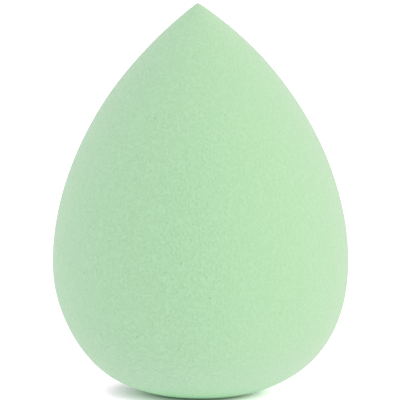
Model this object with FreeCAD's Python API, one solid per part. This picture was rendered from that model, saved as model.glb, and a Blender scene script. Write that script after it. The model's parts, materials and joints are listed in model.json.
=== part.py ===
# Makeup sponge: one teardrop of soft foam that stands on its rounded end, pointed tip up.
# Lengths are in millimetres. The origin is the centre of the face that the sponge stands on,
# and +Z runs up through the middle of the foam to its tip.

import FreeCAD
import Part
import math
import os

# Driving sizes of the dry sponge
overall_height = 60.0         # from the standing face to the tip
belly_diameter = 45.4         # across the widest ring
belly_height = 20.5           # from the standing face up to the widest ring
tip_radius = 0.4              # rounding left on the pointed end
tip_half_angle = 54.5         # degrees between the axis and the side, just below the rounding
standing_depth = 0.5          # how much of the rounded end is pressed flat where it stands
cut_overrun = 1.0             # how far the block that makes the flat reaches past the foam

# Fullness of the sides. The upper two are shares of the rise from the belly to the tip's
# rounding, the third is a share of the drop below the belly, and the last of the belly radius.
tip_straight_share = 0.50     # how far down its slope the side is pulled straight by the tip
belly_upright_share = 0.295   # how far up the side stays upright above the belly
belly_hang_share = 0.65       # how far down the side stays upright below the belly
base_spread_share = 0.65      # how far out the rounded end stays level

full_turn_degrees = 360.0
up = FreeCAD.Vector(0, 0, 1)
origin = FreeCAD.Vector(0, 0, 0)


def at(radius, height):
    """A point of the half outline, in the plane that holds the axis and +X."""
    return FreeCAD.Vector(radius, 0, height)


def smooth_edge(*poles):
    """One curved edge that leaves its first pole and reaches its last along the others."""
    curve = Part.BezierCurve()
    curve.setPoles(list(poles))
    return curve.toShape()


def half_outline():
    """The outline of one side, from the tip down to the lowest point before the flat is made."""
    slope = math.radians(tip_half_angle)
    belly_radius = belly_diameter / 2

    # the tip's rounding turns from level on the axis to the slope of the side
    tip = at(0, overall_height)
    centre_height = overall_height - tip_radius
    turn = math.pi / 2 - slope
    middle = at(tip_radius * math.sin(turn / 2), centre_height + tip_radius * math.cos(turn / 2))
    shoulder = at(tip_radius * math.sin(turn), centre_height + tip_radius * math.cos(turn))
    rounding = Part.Arc(tip, middle, shoulder).toShape()

    # the side leaves the tip along its slope and swells into the belly
    rise = shoulder.z - belly_height
    down_the_slope = at(math.sin(slope), -math.cos(slope))
    belly = at(belly_radius, belly_height)
    side = smooth_edge(shoulder,
                       shoulder + down_the_slope * (tip_straight_share * rise),
                       belly + up * (belly_upright_share * rise),
                       belly)

    # the rounded end closes below the belly like the blunt end of an egg
    drop = belly_height + standing_depth
    lowest = at(0, -standing_depth)
    blunt_end = smooth_edge(belly,
                            belly - up * (belly_hang_share * drop),
                            at(base_spread_share * belly_radius, -standing_depth),
                            lowest)
    axis = Part.LineSegment(lowest, tip).toShape()
    return Part.Wire([rounding, side, blunt_end, axis])


def foam_body():
    """The whole teardrop, turned about its axis and then flattened where it stands."""
    teardrop = Part.Face(half_outline()).revolve(origin, up, full_turn_degrees)
    block_height = standing_depth + cut_overrun
    block_radius = belly_diameter / 2 + cut_overrun
    below_floor = Part.makeCylinder(block_radius, block_height, -up * block_height)
    return teardrop.cut(below_floor)


def main():
    os.makedirs("parts", exist_ok=True)
    body = foam_body().Solids[0]
    standing_face = min(body.Faces, key=lambda face: face.CenterOfMass.z)
    standing_radius = math.sqrt(standing_face.Area / math.pi)
    body.exportStep("parts/foam_body.step")
    box = body.BoundBox
    print("foam_body: %.2f x %.2f x %.2f mm, volume %.2f cubic cm, standing face radius %.2f mm"
          % (box.XLength, box.YLength, box.ZLength, body.Volume / 1000, standing_radius))


main()
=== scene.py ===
import json
import math
import bpy
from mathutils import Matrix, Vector

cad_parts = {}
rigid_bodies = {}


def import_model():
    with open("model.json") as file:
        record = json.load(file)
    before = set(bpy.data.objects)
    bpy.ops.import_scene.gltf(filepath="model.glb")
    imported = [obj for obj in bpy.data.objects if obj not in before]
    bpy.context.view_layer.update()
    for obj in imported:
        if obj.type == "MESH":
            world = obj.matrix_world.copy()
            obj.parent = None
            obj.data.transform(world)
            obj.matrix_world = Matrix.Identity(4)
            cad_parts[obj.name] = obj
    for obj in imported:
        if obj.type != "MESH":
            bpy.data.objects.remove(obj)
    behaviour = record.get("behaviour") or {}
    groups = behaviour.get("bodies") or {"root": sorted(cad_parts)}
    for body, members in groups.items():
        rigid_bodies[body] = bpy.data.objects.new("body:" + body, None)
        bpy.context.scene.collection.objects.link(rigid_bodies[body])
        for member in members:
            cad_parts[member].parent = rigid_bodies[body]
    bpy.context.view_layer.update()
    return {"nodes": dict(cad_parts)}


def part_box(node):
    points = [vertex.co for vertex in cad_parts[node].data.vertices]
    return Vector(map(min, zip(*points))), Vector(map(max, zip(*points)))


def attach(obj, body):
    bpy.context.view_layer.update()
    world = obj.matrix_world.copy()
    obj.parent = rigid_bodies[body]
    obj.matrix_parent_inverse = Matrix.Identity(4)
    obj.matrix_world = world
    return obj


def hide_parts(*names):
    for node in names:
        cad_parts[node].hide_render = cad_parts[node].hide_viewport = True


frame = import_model()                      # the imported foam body, in metres, standing on z = 0
print("frame loaded:", sorted(frame["nodes"]))

mm = 0.001
bodyLow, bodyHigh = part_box("foam_body")
bodyHeight = bodyHigh.z                # standing face to tip
bellyRadius = (bodyHigh.x - bodyLow.x) / 2
bodyMiddle = Vector((0, 0, bodyHeight / 2))


def linearColour(hexText):             # sRGB hex to the linear colour that a shader socket takes
    shares = [int(hexText[at:at + 2], 16) / 255 for at in (1, 3, 5)]
    return [c / 12.92 if c <= 0.04045 else ((c + 0.055) / 1.055) ** 2.4 for c in shares] + [1.0]


white = linearColour("#FFFFFF")


def addNode(tree, kind, settings=None, links=None, output=0):
    node = tree.nodes.new(kind)
    for name, value in (settings or {}).items():
        setattr(node, name, value)
    for socket, value in (links or {}).items():
        if isinstance(value, bpy.types.NodeSocket):
            tree.links.new(value, node.inputs[socket])
        else:
            node.inputs[socket].default_value = value
    return node.outputs[output] if len(node.outputs) else None


def seenRay(tree):                     # 1 for what the camera sees, straight, mirrored or through glass
    rays = addNode(tree, "ShaderNodeLightPath").node.outputs
    mirrored = addNode(tree, "ShaderNodeMath", {"operation": "MAXIMUM"},
                       {0: rays["Is Glossy Ray"], 1: rays["Is Transmission Ray"]})
    return addNode(tree, "ShaderNodeMath", {"operation": "MAXIMUM"},
                   {0: rays["Is Camera Ray"], 1: mirrored})


def aimAt(thing, target):
    thing.rotation_mode = "QUATERNION"
    thing.rotation_quaternion = (target - thing.location).to_track_quat("-Z", "Y")


def fromMiddle(around, above, away):   # degrees right of the camera's side and above level, and mm
    turn = math.radians(around)
    rise = math.radians(above)
    level = math.cos(rise)
    reach = Vector((math.sin(turn) * level, -math.cos(turn) * level, math.sin(rise)))
    return bodyMiddle + reach * away * mm


# foam: hydrophilic polyurethane, foamed very fine and then ground to shape. It is dead matte and
# pastel, speckled by pores that are just about visible, with a few burst cells as dark pinpricks,
# and its cut cell walls scatter light into a pale veil towards the rims, like short velvet.
# Real cells are 0.1 to 0.3 mm wide. They are drawn two to three times as coarse, so that they show.
foamFinish = {
    "wallColour": "#BCE9BC",           # pale crests of the walls between the pores
    "poreMottleAndShadeColour": "#B6E4B6",           # floor of a pore, darker: partly the foam's mottle, partly painted shade in the pore
    "patchColour": "#B8E7BC",          # slightly cooler dye patches
    "pinholeShadeColour": "#A3D1A3",        # burst cells, painted dark as the shade inside them
    "poreSpacing": 0.42,               # mm from pore to pore
    "poreSoftness": 0.4,               # how softly one pore runs into the next
    "grainWidth": 0.48,                # mm, the mottling left by grinding
    "grainDetail": 1.0,                # finer layers in it
    "grainWeight": 2.0,                # how much more of the relief is grain than pores
    "lowestRelief": 0.95,              # of the two patterns together, at the floor of a pore
    "highestRelief": 1.85,             # the same on the crest of a wall
    "reliefDepth": 0.124,              # mm from a crest down to the floor of a pore
    "crestPower": 2.0,                 # how sharply the pale crests stand out
    "patchWidth": 9.0,                 # mm, of the dye patches
    "patchDetail": 2.0,                # finer layers in them
    "pinholeSpacing": 3.6,             # mm between the few burst cells, in the foam's depth too
    "pinholeWidth": 0.42,              # mm
    "pinholeDepth": 0.05,              # mm
    "coarseMiddle": (-7.5, 0.0, 17.0), # mm, of the broad upright patch that was ground coarser
    "coarseStretch": (1.0, 0.0, 0.3),  # how much of each direction counts as distance from it
    "coarseInner": 3.0,                # mm from it where the relief begins to turn fine
    "coarseOuter": 18.0,               # mm from it where all of it is fine
    "fineShare": 0.42,                 # share of the relief's depth that is left there
    "roughness": 1.0,                  # dead matte
    "specularLevel": 0.2,              # the pores swallow most of the plain reflection
    "ior": 1.5,
    "sheenWeight": 0.49,               # the pale veil
    "sheenRoughness": 0.68,            # how far in from the rims it reaches
}


def makeFoamMaterial():
    look = foamFinish
    material = bpy.data.materials.new("groundPolyurethaneFoam")
    material.use_nodes = True
    tree = material.node_tree
    tree.nodes.clear()
    place = addNode(tree, "ShaderNodeTexCoord", output="Object")

    # pores and grinding grain together make the relief
    pores = addNode(tree, "ShaderNodeTexVoronoi", {"feature": "SMOOTH_F1"},
                    {"Vector": place, "Scale": 1 / (look["poreSpacing"] * mm),
                     "Smoothness": look["poreSoftness"]})
    grain = addNode(tree, "ShaderNodeTexNoise", None,
                    {"Vector": place, "Scale": 1 / (look["grainWidth"] * mm),
                     "Detail": look["grainDetail"]})
    relief = addNode(tree, "ShaderNodeMath", {"operation": "MULTIPLY_ADD"},
                     {0: grain, 1: look["grainWeight"], 2: pores})
    height = addNode(tree, "ShaderNodeMapRange", None,
                     {"Value": relief, "From Min": look["lowestRelief"],
                      "From Max": look["highestRelief"]})
    crest = addNode(tree, "ShaderNodeMath", {"operation": "POWER"}, {0: height, 1: look["crestPower"]})

    # the pore floors are darker than the walls, partly mottle and partly painted shade; slow dye patches
    # tint them
    dyePatch = addNode(tree, "ShaderNodeTexNoise", None,
                       {"Vector": place, "Scale": 1 / (look["patchWidth"] * mm),
                        "Detail": look["patchDetail"]})
    wall = addNode(tree, "ShaderNodeMix", {"data_type": "RGBA"},
                   {"Factor": dyePatch, 6: linearColour(look["wallColour"]),
                    7: linearColour(look["patchColour"])}, output=2)
    shaded = addNode(tree, "ShaderNodeMix", {"data_type": "RGBA"},
                     {"Factor": crest, 6: linearColour(look["poreMottleAndShadeColour"]), 7: wall}, output=2)

    # a few burst cells are deeper, and painted darker as the shade inside them
    burst = addNode(tree, "ShaderNodeTexVoronoi", {"feature": "F1"},
                    {"Vector": place, "Scale": 1 / (look["pinholeSpacing"] * mm)})
    rim = look["pinholeWidth"] / look["pinholeSpacing"] / 2        # in the pattern's own unit
    pinhole = addNode(tree, "ShaderNodeMapRange", {"interpolation_type": "SMOOTHSTEP"},
                      {"Value": burst, "From Min": rim / 2, "From Max": rim, "To Min": 1.0, "To Max": 0.0})
    colour = addNode(tree, "ShaderNodeMix", {"data_type": "RGBA"},
                     {"Factor": pinhole, 6: shaded, 7: linearColour(look["pinholeShadeColour"])}, output=2)
    surfaceHeight = addNode(tree, "ShaderNodeMath", {"operation": "MULTIPLY_ADD"},
                            {0: pinhole, 1: -look["pinholeDepth"] / look["reliefDepth"], 2: height})

    # the relief is coarser on one upright patch
    fromPatch = addNode(tree, "ShaderNodeVectorMath", {"operation": "SUBTRACT"},
                        {0: place, 1: [length * mm for length in look["coarseMiddle"]]})
    stretched = addNode(tree, "ShaderNodeVectorMath", {"operation": "MULTIPLY"},
                        {0: fromPatch, 1: look["coarseStretch"]})
    beyond = addNode(tree, "ShaderNodeVectorMath", {"operation": "LENGTH"}, {0: stretched},
                     output="Value")
    coarseness = addNode(tree, "ShaderNodeMapRange", {"interpolation_type": "SMOOTHSTEP"},
                         {"Value": beyond, "From Min": look["coarseInner"] * mm,
                          "From Max": look["coarseOuter"] * mm, "To Min": 1.0,
                          "To Max": look["fineShare"]})
    bump = addNode(tree, "ShaderNodeBump", None,
                   {"Height": surfaceHeight, "Distance": look["reliefDepth"] * mm, "Strength": coarseness})
    surface = addNode(tree, "ShaderNodeBsdfPrincipled", None,
                      {"Base Color": colour, "Normal": bump, "Roughness": look["roughness"],
                       "Specular IOR Level": look["specularLevel"], "IOR": look["ior"],
                       "Sheen Weight": look["sheenWeight"], "Sheen Roughness": look["sheenRoughness"],
                       "Sheen Tint": white})
    addNode(tree, "ShaderNodeOutputMaterial", None, {"Surface": surface})
    return material


# foam body: one half outline, the same as the solid's, turned about the axis on a quad sphere.
# On the real sponge the tip leans a little and the lower left side has been pressed flatter.
foamShape = {
    "bellyHeight": 20.5,               # mm from the standing face up to the widest ring
    "tipRadius": 0.4,                  # mm
    "tipHalfAngle": 54.5,              # degrees between the axis and the side at the tip
    "standingDepth": 0.5,              # mm of the rounded end that is pressed flat
    "tipStraightShare": 0.50,          # of the rise: how far down its slope the side is pulled
    "bellyUprightShare": 0.295,        # of the rise: how far the side stays upright above the belly
    "bellyHangShare": 0.65,            # of the drop: the same below the belly
    "baseSpreadShare": 0.65,           # of the belly radius: how far out the rounded end stays level
    "standingSoftness": 0.6,           # mm over which the side rolls into the standing face
    "tipLean": -0.40,                  # mm that the tip leans to the left
    "tipLeanReach": 8.5,               # mm below the tip where the lean begins
    "tipLeanPower": 1.5,               # how late in that reach it comes on
    "flatSpot": (-19.5, 0.0, 8.5),     # mm, middle of the flatter stretch
    "flatSpotDepth": 0.50,             # mm
    "flatSpotReach": 11.0,             # mm from its middle to where it has run out
    "undulationDepth": 0.12,           # mm, left by grinding
    "undulationWidth": 14.0,           # mm
    "undulationDetail": 1.0,           # finer layers in it
    "facetsAcross": 128,               # across each of the quad sphere's six sides
    "outlineSteps": 96,                # along each of the outline's three stretches
    "bakeMargin": 0.02,                # share of a bake map cell that stays empty round its edge
}


def makeOutline(tree, given):          # the half outline as a curve, X outwards and Y up
    # the tip's rounding turns from level on the axis to the slope of the side
    turn = addNode(tree, "ShaderNodeMath", {"operation": "SUBTRACT"},
                   {0: math.pi / 2, 1: given["Tip Half Angle"]})
    sweep = addNode(tree, "ShaderNodeMath", {"operation": "MULTIPLY"}, {0: turn, 1: -1.0})
    arc = addNode(tree, "GeometryNodeCurveArc", {"mode": "RADIUS"},
                  {"Resolution": foamShape["outlineSteps"], "Radius": given["Tip Radius"],
                   "Start Angle": math.pi / 2, "Sweep Angle": sweep})
    centreHeight = addNode(tree, "ShaderNodeMath", {"operation": "SUBTRACT"},
                           {0: given["Height"], 1: given["Tip Radius"]})
    centre = addNode(tree, "ShaderNodeCombineXYZ", None, {"Y": centreHeight})
    rounding = addNode(tree, "GeometryNodeTransform", None, {"Geometry": arc, "Translation": centre})

    # the side leaves the rounding along the tip's slope and reaches the belly upright
    sine = addNode(tree, "ShaderNodeMath", {"operation": "SINE"}, {0: given["Tip Half Angle"]})
    cosine = addNode(tree, "ShaderNodeMath", {"operation": "COSINE"}, {0: given["Tip Half Angle"]})
    outOfCentre = addNode(tree, "ShaderNodeCombineXYZ", None, {"X": cosine, "Y": sine})
    reach = addNode(tree, "ShaderNodeVectorMath", {"operation": "SCALE"},
                    {0: outOfCentre, "Scale": given["Tip Radius"]})
    shoulder = addNode(tree, "ShaderNodeVectorMath", {"operation": "ADD"}, {0: centre, 1: reach})
    shoulderHeight = addNode(tree, "ShaderNodeSeparateXYZ", None, {"Vector": shoulder}, output="Y")
    rise = addNode(tree, "ShaderNodeMath", {"operation": "SUBTRACT"},
                   {0: shoulderHeight, 1: given["Belly Height"]})
    fall = addNode(tree, "ShaderNodeMath", {"operation": "MULTIPLY"}, {0: cosine, 1: -1.0})
    slope = addNode(tree, "ShaderNodeCombineXYZ", None, {"X": sine, "Y": fall})
    straight = addNode(tree, "ShaderNodeMath", {"operation": "MULTIPLY"},
                       {0: rise, 1: given["Tip Straight Share"]})
    belowTip = addNode(tree, "ShaderNodeVectorMath", {"operation": "SCALE"},
                       {0: slope, "Scale": straight})
    shoulderHandle = addNode(tree, "ShaderNodeVectorMath", {"operation": "ADD"},
                             {0: shoulder, 1: belowTip})
    upright = addNode(tree, "ShaderNodeMath", {"operation": "MULTIPLY_ADD"},
                      {0: rise, 1: given["Belly Upright Share"], 2: given["Belly Height"]})
    bellyHandle = addNode(tree, "ShaderNodeCombineXYZ", None,
                          {"X": given["Belly Radius"], "Y": upright})
    belly = addNode(tree, "ShaderNodeCombineXYZ", None,
                    {"X": given["Belly Radius"], "Y": given["Belly Height"]})
    side = addNode(tree, "GeometryNodeCurvePrimitiveBezierSegment", {"mode": "POSITION"},
                   {"Resolution": foamShape["outlineSteps"], "Start": shoulder,
                    "Start Handle": shoulderHandle, "End Handle": bellyHandle, "End": belly})

    # the blunt end closes below the belly
    drop = addNode(tree, "ShaderNodeMath", {"operation": "ADD"},
                   {0: given["Belly Height"], 1: given["Standing Depth"]})
    hang = addNode(tree, "ShaderNodeMath", {"operation": "MULTIPLY"},
                   {0: drop, 1: given["Belly Hang Share"]})
    hangHeight = addNode(tree, "ShaderNodeMath", {"operation": "SUBTRACT"},
                         {0: given["Belly Height"], 1: hang})
    hangHandle = addNode(tree, "ShaderNodeCombineXYZ", None,
                         {"X": given["Belly Radius"], "Y": hangHeight})
    spread = addNode(tree, "ShaderNodeMath", {"operation": "MULTIPLY"},
                     {0: given["Belly Radius"], 1: given["Base Spread Share"]})
    lowestHeight = addNode(tree, "ShaderNodeMath", {"operation": "MULTIPLY"},
                           {0: given["Standing Depth"], 1: -1.0})
    spreadHandle = addNode(tree, "ShaderNodeCombineXYZ", None, {"X": spread, "Y": lowestHeight})
    lowest = addNode(tree, "ShaderNodeCombineXYZ", None, {"Y": lowestHeight})
    bluntEnd = addNode(tree, "GeometryNodeCurvePrimitiveBezierSegment", {"mode": "POSITION"},
                       {"Resolution": foamShape["outlineSteps"], "Start": belly,
                        "Start Handle": hangHandle, "End Handle": spreadHandle, "End": lowest})
    outline = tree.nodes.new("GeometryNodeJoinGeometry")
    for stretch in (bluntEnd, side, rounding):     # the last link made comes first on the outline
        tree.links.new(stretch, outline.inputs[0])
    return outline.outputs[0]


def layBakeMap(tree, cube):            # each side of the cube gets its own cell, three by two
    onCube = addNode(tree, "GeometryNodeInputPosition")
    normal = addNode(tree, "GeometryNodeInputNormal")
    facing = addNode(tree, "GeometryNodeFieldOnDomain", {"data_type": "FLOAT_VECTOR", "domain": "FACE"},
                     {0: normal})

    # across runs round the axis on the four upright sides and along X on the two caps
    size = addNode(tree, "ShaderNodeVectorMath", {"operation": "ABSOLUTE"}, {0: facing})
    capped = addNode(tree, "ShaderNodeVectorMath", {"operation": "MULTIPLY"}, {0: size, 1: (0, 0, 1)})
    capSize = addNode(tree, "ShaderNodeSeparateXYZ", None, {"Vector": capped}, output="Z")
    capAcross = addNode(tree, "ShaderNodeCombineXYZ", None, {"X": capSize})
    aroundAxis = addNode(tree, "ShaderNodeVectorMath", {"operation": "CROSS_PRODUCT"},
                     {0: (0, 0, 1), 1: facing})
    across = addNode(tree, "ShaderNodeVectorMath", {"operation": "ADD"}, {0: aroundAxis, 1: capAcross})
    upwards = addNode(tree, "ShaderNodeVectorMath", {"operation": "CROSS_PRODUCT"},
                      {0: facing, 1: across})

    # a column for each of X, Y and Z, and a row for each of its two sides
    u = addNode(tree, "ShaderNodeVectorMath", {"operation": "DOT_PRODUCT"},
                {0: onCube, 1: across}, output="Value")
    v = addNode(tree, "ShaderNodeVectorMath", {"operation": "DOT_PRODUCT"},
                {0: onCube, 1: upwards}, output="Value")
    column = addNode(tree, "ShaderNodeVectorMath", {"operation": "DOT_PRODUCT"},
                     {0: size, 1: (0, 1, 2)}, output="Value")
    sign = addNode(tree, "ShaderNodeVectorMath", {"operation": "DOT_PRODUCT"},
                   {0: facing, 1: (1, 1, 1)}, output="Value")
    row = addNode(tree, "ShaderNodeMath", {"operation": "MULTIPLY_ADD"}, {0: sign, 1: 0.5, 2: 0.5})
    filled = 0.5 - foamShape["bakeMargin"]         # half a cell, less the margin
    inColumn = addNode(tree, "ShaderNodeMath", {"operation": "MULTIPLY_ADD"}, {0: u, 1: filled, 2: column})
    inRow = addNode(tree, "ShaderNodeMath", {"operation": "MULTIPLY_ADD"}, {0: v, 1: filled, 2: row})
    cells = addNode(tree, "ShaderNodeCombineXYZ", None, {"X": inColumn, "Y": inRow})
    cellSize = Vector((1 / 3, 1 / 2, 0))
    onMap = addNode(tree, "ShaderNodeVectorMath", {"operation": "MULTIPLY_ADD"},
                    {0: cells, 1: cellSize, 2: cellSize / 2})
    return addNode(tree, "GeometryNodeStoreNamedAttribute", {"data_type": "FLOAT2", "domain": "CORNER"},
                   {"Geometry": cube, "Name": "OFBake", "Value": onMap})


def turnOutline(tree, given, cube, outline):       # each point of the cube goes to its place
    # the tangent spaces the cube's facets evenly over the sphere
    onCube = addNode(tree, "GeometryNodeInputPosition")
    angles = addNode(tree, "ShaderNodeVectorMath", {"operation": "SCALE"},
                     {0: onCube, "Scale": math.pi / 4})
    evened = addNode(tree, "ShaderNodeVectorMath", {"operation": "TANGENT"}, {0: angles})
    direction = addNode(tree, "ShaderNodeVectorMath", {"operation": "NORMALIZE"}, {0: evened})

    # the angle from the tip gives the place along the outline
    steepness = addNode(tree, "ShaderNodeSeparateXYZ", None, {"Vector": direction}, output="Z")
    fromTip = addNode(tree, "ShaderNodeMath", {"operation": "ARCCOSINE"}, {0: steepness})
    along = addNode(tree, "ShaderNodeMath", {"operation": "DIVIDE"}, {0: fromTip, 1: math.pi})
    onOutline = addNode(tree, "GeometryNodeSampleCurve", {"mode": "FACTOR", "use_all_curves": True},
                        {"Curves": outline, "Factor": along}, output="Position")
    place = addNode(tree, "ShaderNodeSeparateXYZ", None, {"Vector": onOutline}).node.outputs
    level = addNode(tree, "ShaderNodeVectorMath", {"operation": "MULTIPLY"},
                    {0: direction, 1: (1, 1, 0)})
    outward = addNode(tree, "ShaderNodeVectorMath", {"operation": "NORMALIZE"}, {0: level})
    ring = addNode(tree, "ShaderNodeVectorMath", {"operation": "SCALE"},
                   {0: outward, "Scale": place["X"]})

    # the tip leans
    leanStart = addNode(tree, "ShaderNodeMath", {"operation": "SUBTRACT"},
                        {0: given["Height"], 1: given["Tip Lean Reach"]})
    lean = addNode(tree, "ShaderNodeMapRange", None,
                   {"Value": place["Y"], "From Min": leanStart, "From Max": given["Height"]})
    leanCurve = addNode(tree, "ShaderNodeMath", {"operation": "POWER"},
                        {0: lean, 1: foamShape["tipLeanPower"]})
    sideways = addNode(tree, "ShaderNodeMath", {"operation": "MULTIPLY"},
                       {0: leanCurve, 1: given["Tip Lean"]})
    lifted = addNode(tree, "ShaderNodeCombineXYZ", None, {"X": sideways, "Z": place["Y"]})
    turned = addNode(tree, "ShaderNodeVectorMath", {"operation": "ADD"}, {0: ring, 1: lifted})
    return addNode(tree, "GeometryNodeSetPosition", None, {"Geometry": cube, "Position": turned})


def wearSurface(tree, given, teardrop):
    position = addNode(tree, "GeometryNodeInputPosition")

    # slow unevenness from grinding, either side of the true surface
    slowScale = addNode(tree, "ShaderNodeMath", {"operation": "DIVIDE"},
                        {0: 1.0, 1: given["Undulation Width"]})
    slow = addNode(tree, "ShaderNodeTexNoise", None,
                   {"Vector": position, "Scale": slowScale,
                    "Detail": foamShape["undulationDetail"]})
    centred = addNode(tree, "ShaderNodeMath", {"operation": "SUBTRACT"}, {0: slow, 1: 0.5})
    undulation = addNode(tree, "ShaderNodeMath", {"operation": "MULTIPLY"},
                         {0: centred, 1: given["Undulation Depth"]})

    # the flatter stretch
    away = addNode(tree, "ShaderNodeVectorMath", {"operation": "DISTANCE"},
                   {0: position, 1: given["Flat Spot"]}, output="Value")
    pressedIn = addNode(tree, "ShaderNodeMapRange", {"interpolation_type": "SMOOTHSTEP"},
                        {"Value": away, "From Min": 0.0, "From Max": given["Flat Spot Reach"],
                         "To Min": given["Flat Spot Depth"], "To Max": 0.0})
    depth = addNode(tree, "ShaderNodeMath", {"operation": "SUBTRACT"}, {0: undulation, 1: pressedIn})
    normal = addNode(tree, "GeometryNodeInputNormal")
    offset = addNode(tree, "ShaderNodeVectorMath", {"operation": "SCALE"},
                     {0: normal, "Scale": depth})
    worn = addNode(tree, "GeometryNodeSetPosition", None, {"Geometry": teardrop, "Offset": offset})

    # the rounded end is pressed flat where it stands
    settled = addNode(tree, "ShaderNodeSeparateXYZ", None, {"Vector": position}).node.outputs
    floorHeight = addNode(tree, "ShaderNodeMath", {"operation": "SMOOTH_MAX"},
                          {0: settled["Z"], 1: 0.0, 2: given["Standing Softness"]})
    pressed = addNode(tree, "ShaderNodeCombineXYZ", None,
                      {"X": settled["X"], "Y": settled["Y"], "Z": floorHeight})
    return addNode(tree, "GeometryNodeSetPosition", None, {"Geometry": worn, "Position": pressed})


def makeTeardropTree(material):
    tree = bpy.data.node_groups.new("turnedTeardrop", "GeometryNodeTree")
    for name in ("Height", "Belly Radius", "Belly Height", "Tip Radius", "Tip Half Angle",
                 "Standing Depth", "Tip Straight Share", "Belly Upright Share",
                 "Belly Hang Share", "Base Spread Share", "Standing Softness", "Tip Lean",
                 "Tip Lean Reach", "Flat Spot Depth", "Flat Spot Reach", "Undulation Depth",
                 "Undulation Width"):
        tree.interface.new_socket(name=name, in_out="INPUT", socket_type="NodeSocketFloat")
    tree.interface.new_socket(name="Flat Spot", in_out="INPUT", socket_type="NodeSocketVector")
    tree.interface.new_socket(name="Facets Across", in_out="INPUT", socket_type="NodeSocketInt")
    tree.interface.new_socket(name="Foam", in_out="OUTPUT", socket_type="NodeSocketGeometry")
    given = addNode(tree, "NodeGroupInput").node.outputs
    corners = addNode(tree, "ShaderNodeMath", {"operation": "ADD"},
                      {0: given["Facets Across"], 1: 1.0})
    cube = addNode(tree, "GeometryNodeMeshCube", None,
                   {"Size": (2, 2, 2), "Vertices X": corners, "Vertices Y": corners,
                    "Vertices Z": corners})        # from -1 to 1 each way
    mapped = layBakeMap(tree, cube)
    teardrop = turnOutline(tree, given, mapped, makeOutline(tree, given))
    standing = wearSurface(tree, given, teardrop)
    smooth = addNode(tree, "GeometryNodeSetShadeSmooth", None, {"Geometry": standing})
    real = addNode(tree, "GeometryNodeRealizeInstances", None, {"Geometry": smooth})
    coated = addNode(tree, "GeometryNodeSetMaterial", None, {"Geometry": real, "Material": material})
    addNode(tree, "NodeGroupOutput", None, {"Foam": coated})
    return tree


def makeFoamBody(material):
    shape = foamShape
    tree = makeTeardropTree(material)
    values = {
        "Height": bodyHeight,
        "Belly Radius": bellyRadius,
        "Belly Height": shape["bellyHeight"] * mm,
        "Tip Radius": shape["tipRadius"] * mm,
        "Tip Half Angle": math.radians(shape["tipHalfAngle"]),
        "Standing Depth": shape["standingDepth"] * mm,
        "Tip Straight Share": shape["tipStraightShare"],
        "Belly Upright Share": shape["bellyUprightShare"],
        "Belly Hang Share": shape["bellyHangShare"],
        "Base Spread Share": shape["baseSpreadShare"],
        "Standing Softness": shape["standingSoftness"] * mm,
        "Tip Lean": shape["tipLean"] * mm,
        "Tip Lean Reach": shape["tipLeanReach"] * mm,
        "Flat Spot": [length * mm for length in shape["flatSpot"]],
        "Flat Spot Depth": shape["flatSpotDepth"] * mm,
        "Flat Spot Reach": shape["flatSpotReach"] * mm,
        "Undulation Depth": shape["undulationDepth"] * mm,
        "Undulation Width": shape["undulationWidth"] * mm,
        "Facets Across": shape["facetsAcross"],
    }
    maker = bpy.data.objects.new("teardropMaker", bpy.data.meshes.new("teardropMaker"))
    maker.data.materials.append(material)          # so that the tree adds no second, empty slot
    bpy.context.scene.collection.objects.link(maker)
    modifier = maker.modifiers.new("teardrop", "NODES")
    modifier.node_group = tree
    for item in tree.interface.items_tree:
        if item.in_out == "INPUT":
            modifier[item.identifier] = values[item.name]
    bpy.context.view_layer.update()
    evaluated = maker.evaluated_get(bpy.context.evaluated_depsgraph_get())
    mesh = bpy.data.meshes.new_from_object(evaluated)
    mesh.name = "foam"
    bpy.data.objects.remove(maker)
    foam = bpy.data.objects.new("foam", mesh)
    bpy.context.scene.collection.objects.link(foam)
    print("foam body:", len(mesh.polygons), "faces, bake map", mesh.uv_layers.keys(),
          "finish", mesh.materials.keys())
    return foam


foam = makeFoamBody(makeFoamMaterial())
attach(foam, "root")
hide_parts("foam_body")


# floor: an opal light table. It glows as brightly as the room, so the sponge's underside is as light
# as its front. Close to where the sponge stands, its glow is cut as painted shade and tinted green as
# painted bounce. The camera sees the board overexposed, white but for the contact shadow, partly real,
# partly painted by darkening the board where the foam is near, deeper on the side away from the key light.
floorLook = {
    "width": 6000.0,                   # mm, of the board
    "gap": 0.02,                       # mm below the standing face
    "glow": 0.84,                      # strength of the board's own light, all round
    "frontGlow": 0.20,                 # added to it in front of the sponge
    "glowBack": 100.0,                 # mm along Y where that begins
    "glowFront": -300.0,               # mm along Y where all of it is added
    "shadeInner": 5.0,                 # mm from the axis up to which the board has no glow, as painted shade
    "shadeOuter": 12.5,                # mm from the axis where its glow is whole again
    "paintedBounceGlow": "#BCFFC7",             # its colour by the foot: painted green bounce, for light the foam throws back
    "tintOuter": 19.0,                 # mm from the axis where it is white again
    "exposure": 2.2,                   # how bright the camera sees the open board
    "shadowExposure": 0.5,             # the same where the foam covers the whole sky
    "openShare": 0.6,                  # share of open sky from which the board is fully exposed
    "shadowReach": 6.0,                # mm up to which the foam counts as cover
    "shadowSamples": 24,               # rays that look for it from each point
    "skyLean": (0.8, -0.3, 0.6),       # the middle of the sky that counts, towards the key light
    "colour": "#FFE2FF",               # evens out the green that the foam throws on the board
}


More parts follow.
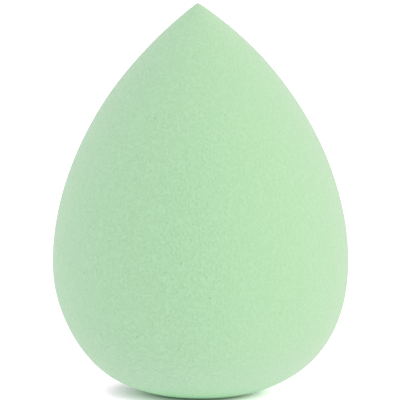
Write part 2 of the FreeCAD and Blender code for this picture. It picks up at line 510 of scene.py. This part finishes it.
def makeFloor():
    look = floorLook
    material = bpy.data.materials.new("opalAcrylic")
    material.use_nodes = True
    tree = material.node_tree
    tree.nodes.clear()
    place = addNode(tree, "ShaderNodeTexCoord", output="Object")
    along = addNode(tree, "ShaderNodeSeparateXYZ", None, {"Vector": place}).node.outputs

    # what the camera sees: a white board with a painted contact shadow, its colour darker where the foam
    # covers its sky
    sky = addNode(tree, "ShaderNodeCombineXYZ", None, dict(zip("XYZ", look["skyLean"])))
    openSky = addNode(tree, "ShaderNodeAmbientOcclusion", {"samples": look["shadowSamples"]},
                      {"Distance": look["shadowReach"] * mm, "Normal": sky}, output="AO")
    exposure = addNode(tree, "ShaderNodeMapRange", {"interpolation_type": "SMOOTHSTEP"},
                       {"Value": openSky, "From Max": look["openShare"],
                        "To Min": look["shadowExposure"], "To Max": look["exposure"]})
    brightness = addNode(tree, "ShaderNodeVectorMath", {"operation": "SCALE"},
                         {0: linearColour(look["colour"])[:3], "Scale": exposure})
    board = addNode(tree, "ShaderNodeBsdfDiffuse", None, {"Color": brightness})

    # what lights the foam: the board's glow, which is stronger in front and left out by the foot as
    # painted shade
    towardsFront = addNode(tree, "ShaderNodeMapRange", {"interpolation_type": "SMOOTHSTEP"},
                           {"Value": along["Y"], "From Min": look["glowBack"] * mm,
                            "From Max": look["glowFront"] * mm, "To Min": look["glow"],
                            "To Max": look["glow"] + look["frontGlow"]})
    away = addNode(tree, "ShaderNodeVectorMath", {"operation": "LENGTH"}, {0: place}, output="Value")
    unshaded = addNode(tree, "ShaderNodeMapRange", {"interpolation_type": "SMOOTHSTEP"},
                       {"Value": away, "From Min": look["shadeInner"] * mm,
                        "From Max": look["shadeOuter"] * mm})
    strength = addNode(tree, "ShaderNodeMath", {"operation": "MULTIPLY"}, {0: towardsFront, 1: unshaded})

    # by the foot it is tinted green as painted bounce, for the light that the foam throws back
    untinted = addNode(tree, "ShaderNodeMapRange", {"interpolation_type": "SMOOTHSTEP"},
                       {"Value": away, "From Min": look["shadeInner"] * mm,
                        "From Max": look["tintOuter"] * mm})
    paintedBounceTint = addNode(tree, "ShaderNodeMix", {"data_type": "RGBA"},
                         {"Factor": untinted, 6: linearColour(look["paintedBounceGlow"]), 7: white}, output=2)
    glow = addNode(tree, "ShaderNodeEmission", None, {"Color": paintedBounceTint, "Strength": strength})
    both = addNode(tree, "ShaderNodeMixShader", None, {"Fac": seenRay(tree), 1: glow, 2: board})
    addNode(tree, "ShaderNodeOutputMaterial", None, {"Surface": both})

    half = look["width"] * mm / 2
    height = -look["gap"] * mm
    mesh = bpy.data.meshes.new("floor")
    mesh.from_pydata([(-half, -half, height), (half, -half, height), (half, half, height),
                      (-half, half, height)], [], [(0, 1, 2, 3)])
    mesh.materials.append(material)
    floor = bpy.data.objects.new("floor", mesh)
    bpy.context.scene.collection.objects.link(floor)


makeFloor()

# light: an even white surround and a large soft warm key on the right
studioLight = {
    "surround": 0.835,                 # strength of the white room on the object
    "keyAround": 65.0,                 # degrees to the right of the camera's side
    "keyAbove": 12.0,                  # degrees above level
    "keyAway": 700.0,                  # mm from the middle of the sponge
    "keySize": 600.0,                  # mm across
    "keyPower": 1.15,                  # watts
    "keyColour": "#FFE7CE",
}


def makeLights():
    look = studioLight
    lamp = bpy.data.lights.new("key", "AREA")
    lamp.shape = "DISK"
    lamp.size = look["keySize"] * mm
    lamp.energy = look["keyPower"]
    lamp.color = linearColour(look["keyColour"])[:3]
    key = bpy.data.objects.new("key", lamp)
    key.location = fromMiddle(look["keyAround"], look["keyAbove"], look["keyAway"])
    aimAt(key, bodyMiddle)
    bpy.context.scene.collection.objects.link(key)
    world = bpy.data.worlds.new("studio")
    world.use_nodes = True
    tree = world.node_tree
    tree.nodes.clear()
    strength = addNode(tree, "ShaderNodeMapRange", None,
                       {"Value": seenRay(tree), "To Min": look["surround"], "To Max": 1.0})
    surround = addNode(tree, "ShaderNodeBackground", None,
                       {"Color": white, "Strength": strength})
    addNode(tree, "ShaderNodeOutputWorld", None, {"Surface": surround})
    bpy.context.scene.world = world


makeLights()

# camera: a long lens, a little above the sponge
cameraView = {
    "elevation": 7.0,                  # degrees above level
    "distance": 550.0,                 # mm from the middle of the sponge
    "aimAside": -0.10,                 # mm from the middle of the sponge, along X
    "aimAbove": -0.22,                 # mm from the middle of the sponge, along Z
    "frameWidth": 400,                 # pixels
    "pixelScale": 3591.0,              # pixels in that frame for a slope of one
    "sensorWidth": 36.0,               # mm
    "nearest": 10.0,                   # mm from the lens
    "farthest": 100000.0,              # mm from the lens
}


def makeCamera():
    look = cameraView
    lens = bpy.data.cameras.new("camera")
    lens.sensor_width = look["sensorWidth"]
    lens.lens = look["pixelScale"] / look["frameWidth"] * look["sensorWidth"]
    lens.clip_start = look["nearest"] * mm
    lens.clip_end = look["farthest"] * mm
    camera = bpy.data.objects.new("camera", lens)
    offset = Vector((look["aimAside"], 0, look["aimAbove"])) * mm
    camera.location = fromMiddle(0, look["elevation"], look["distance"]) + offset
    aimAt(camera, bodyMiddle + offset)
    bpy.context.scene.collection.objects.link(camera)
    bpy.context.scene.camera = camera


makeCamera()
bpy.context.scene.view_settings.view_transform = "Standard"
print("floor, lights and camera made")
